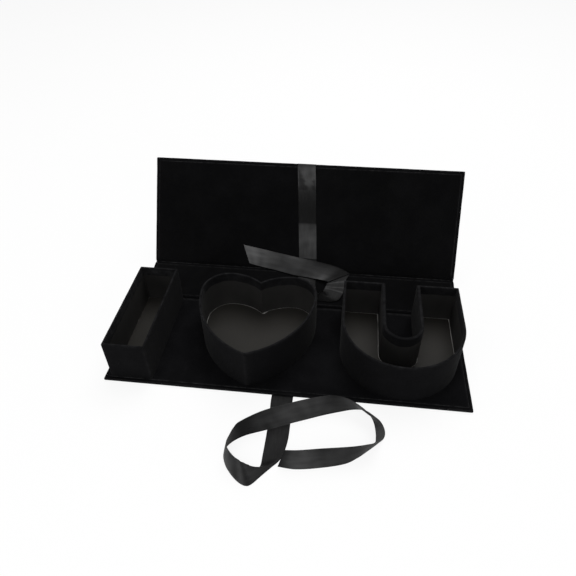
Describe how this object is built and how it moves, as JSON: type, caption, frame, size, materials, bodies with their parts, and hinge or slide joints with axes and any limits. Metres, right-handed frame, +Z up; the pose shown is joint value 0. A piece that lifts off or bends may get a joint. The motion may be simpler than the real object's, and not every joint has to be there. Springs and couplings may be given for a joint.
{
  "type": "book-style gift case",
  "caption": "Black velvet gift case that opens like a book, with bar, heart and U shaped open trays and a satin closing ribbon.",
  "frame": {"origin": "middle of the underside of the base", "axes": "+X to the right as seen from the front, +Y to the rear hinge, +Z up"},
  "size_m": [0.42, 0.3962, 0.1387],
  "materials": {
    "black_velvet": "velvet",
    "hinge_cloth": "matt",
    "grey_board": "matt",
    "lining_paper": "matt",
    "floor_card": "matt",
    "satin_ribbon": "satin"
  },
  "bodies": {
    "base": {"base_board": "grey_board", "base_velvet_cover": "black_velvet", "base_inner_panel": "black_velvet", "rear_hinge_outer_cloth": "black_velvet", "rear_hinge_inner_cloth": "hinge_cloth", "bar_tray_wall": "grey_board", "bar_tray_velvet": "black_velvet", "bar_tray_paper": "lining_paper", "bar_tray_floor": "grey_board", "bar_tray_card": "floor_card", "heart_tray_wall": "grey_board", "heart_tray_velvet": "black_velvet", "heart_tray_paper": "lining_paper", "heart_tray_floor": "grey_board", "heart_tray_card": "floor_card", "u_tray_wall": "grey_board", "u_tray_velvet": "black_velvet", "u_tray_paper": "lining_paper", "u_tray_floor": "grey_board", "u_tray_card": "floor_card", "ribbon_under_base": "satin_ribbon", "ribbon_over_rear_hinge": "satin_ribbon", "ribbon_front_tail": "satin_ribbon"},
    "spine": {"spine_board": "grey_board", "spine_velvet_cover": "black_velvet", "spine_inner_panel": "black_velvet", "lid_hinge_outer_cloth": "black_velvet", "lid_hinge_inner_cloth": "hinge_cloth", "ribbon_behind_spine": "satin_ribbon", "ribbon_over_lid_hinge": "satin_ribbon", "ribbon_rear_tail": "satin_ribbon"},
    "lid": {"lid_board": "grey_board", "lid_velvet_cover": "black_velvet", "lid_inner_panel": "black_velvet", "ribbon_outside_lid": "satin_ribbon", "ribbon_inside_lid": "satin_ribbon"}
  },
  "joints": [
    {"name": "rear_hinge", "type": "hinge", "parent": "base", "child": "spine", "pos_m": [0, 0.073, 0.0039], "axis": [1, 0, 0], "range_deg": [-10, 80], "deforming": ["rear_hinge_outer_cloth", "rear_hinge_inner_cloth", "ribbon_over_rear_hinge"]},
    {"name": "lid_hinge", "type": "hinge", "parent": "spine", "child": "lid", "pos_m": [0, 0.13307, 0.01449], "axis": [1, 0, 0], "range_deg": [-48, 42], "deforming": ["lid_hinge_outer_cloth", "lid_hinge_inner_cloth", "ribbon_over_lid_hinge", "ribbon_rear_tail"]}
  ]
}
